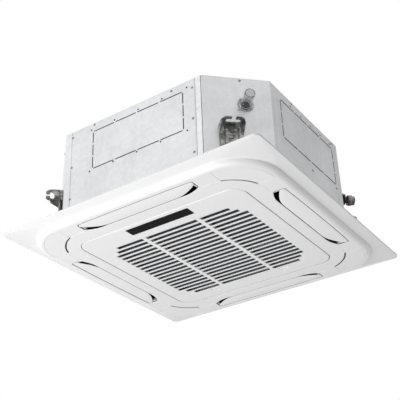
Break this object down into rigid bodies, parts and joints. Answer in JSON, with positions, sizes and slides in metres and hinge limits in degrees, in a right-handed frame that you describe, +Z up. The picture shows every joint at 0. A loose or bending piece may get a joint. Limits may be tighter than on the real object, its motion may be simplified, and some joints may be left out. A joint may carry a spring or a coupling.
{
  "type": "ceiling cassette air conditioner",
  "caption": "Recessed air conditioner for a suspended ceiling: a sheet-metal body with hanger brackets above a square moulded panel with a slatted intake grille and hinged outlet louvers.",
  "frame": {"origin": "plan centre of the unit in the plane of the ceiling, where the top of the panel's rim bears on the ceiling's underside", "axes": "+Z up into the ceiling, away from the room; -Y the front, the side of the display and of the grille's hinges; +X the right as seen from the front"},
  "size_m": [0.95, 0.95, 0.351],
  "materials": {
    "casing": "galvanised sheet steel, dull zinc with a faint mottle",
    "bracket": "dark zinc-plated pressed steel",
    "white_panel": "glossy white moulded plastic",
    "white_louver": "glossy white moulded plastic",
    "foam": "moulded white polystyrene foam, fine beads",
    "black_foam": "soft black closed-cell foam",
    "fins": "coated aluminium fins, close together",
    "grey_plastic": "matte mid-grey plastic",
    "steel": "plain turned or pressed steel",
    "copper": "drawn copper tube, lightly tarnished",
    "flare_nut": "dark browned brass",
    "clear_plastic": "clear moulded plastic",
    "hose": "translucent grey flexible hose",
    "filter_net": "fine dark nylon net",
    "black_window": "glossy black plastic window",
    "circuit_board": "green lacquered circuit board"
  },
  "bodies": {
    "body": {"side_panel_front": "casing", "side_panel_right": "casing", "side_panel_back": "casing", "side_panel_left": "casing", "corner_panel_front_right": "casing", "corner_panel_back_right": "casing", "corner_panel_back_left": "casing", "corner_panel_front_left": "casing", "top_plate": "casing", "insulation_liner": "foam", "drain_pan": "foam", "evaporator_coil": "fins", "coil_end_plate_back": "casing", "coil_end_plate_right": "casing", "bell_mouth": "grey_plastic", "fan_motor": "steel", "motor_bracket": "casing", "electrical_box": "casing", "electrical_box_cover": "casing", "drain_pump": "grey_plastic", "drain_hose": "hose", "drain_outlet": "clear_plastic", "drain_flange": "clear_plastic", "pipe_cover_plate": "casing", "gas_pipe": "copper", "gas_flare_nut": "flare_nut", "liquid_pipe": "copper", "liquid_flare_nut": "flare_nut", "gas_pipe_sleeve": "black_foam", "hanger_bracket_front_right": "bracket", "hanger_bracket_back_right": "bracket", "hanger_bracket_back_left": "bracket", "hanger_bracket_front_left": "bracket", "panel_frame": "white_panel", "panel_seal": "black_foam", "louver_motor_front": "grey_plastic", "louver_motor_right": "grey_plastic", "louver_motor_back": "grey_plastic", "louver_motor_left": "grey_plastic", "corner_cover_front_right": "white_panel", "corner_cover_back_right": "white_panel", "corner_cover_back_left": "white_panel", "corner_cover_front_left": "white_panel", "hinge_pin_left": "steel", "hinge_pin_right": "steel"},
    "fan": {"fan_impeller": "grey_plastic", "fan_nut": "steel", "motor_shaft": "steel"},
    "float": {"float_ring": "foam"},
    "louver_front": {"louver_front": "white_louver"},
    "louver_right": {"louver_right": "white_louver"},
    "louver_back": {"louver_back": "white_louver"},
    "louver_left": {"louver_left": "white_louver"},
    "grille": {"intake_grille": "white_panel", "air_filter_frame": "grey_plastic", "air_filter_mesh": "filter_net", "display_window": "black_window", "display_board": "circuit_board"},
    "latch_left": {"grille_latch_left": "white_panel"},
    "latch_right": {"grille_latch_right": "white_panel"}
  },
  "joints": [
    {"name": "fan_spin", "type": "hinge", "parent": "body", "child": "fan", "pos_m": [0, 0, 0.2], "axis": [0, 0, 1], "continuous": true},
    {"name": "float_slide", "type": "slide", "parent": "body", "child": "float", "axis": [0, 0, 1], "range_m": [0, 0.012]},
    {"name": "louver_front_swing", "type": "hinge", "parent": "body", "child": "louver_front", "pos_m": [0, -0.372, -0.022], "axis": [1, 0, 0], "range_deg": [0, 75]},
    {"name": "louver_right_swing", "type": "hinge", "parent": "body", "child": "louver_right", "pos_m": [0.372, 0, -0.022], "axis": [0, 1, 0], "range_deg": [0, 75]},
    {"name": "louver_back_swing", "type": "hinge", "parent": "body", "child": "louver_back", "pos_m": [0, 0.372, -0.022], "axis": [-1, 0, 0], "range_deg": [0, 75]},
    {"name": "louver_left_swing", "type": "hinge", "parent": "body", "child": "louver_left", "pos_m": [-0.372, 0, -0.022], "axis": [0, -1, 0], "range_deg": [0, 75]},
    {"name": "grille_hinge", "type": "hinge", "parent": "body", "child": "grille", "pos_m": [0, -0.3005, -0.0249], "axis": [-1, 0, 0], "range_deg": [0, 65]},
    {"name": "latch_left_slide", "type": "slide", "parent": "grille", "child": "latch_left", "axis": [0, -1, 0], "range_m": [0, 0.006], "stiffness_N_per_m": 200},
    {"name": "latch_right_slide", "type": "slide", "parent": "grille", "child": "latch_right", "axis": [0, -1, 0], "range_m": [0, 0.006], "stiffness_N_per_m": 200}
  ]
}
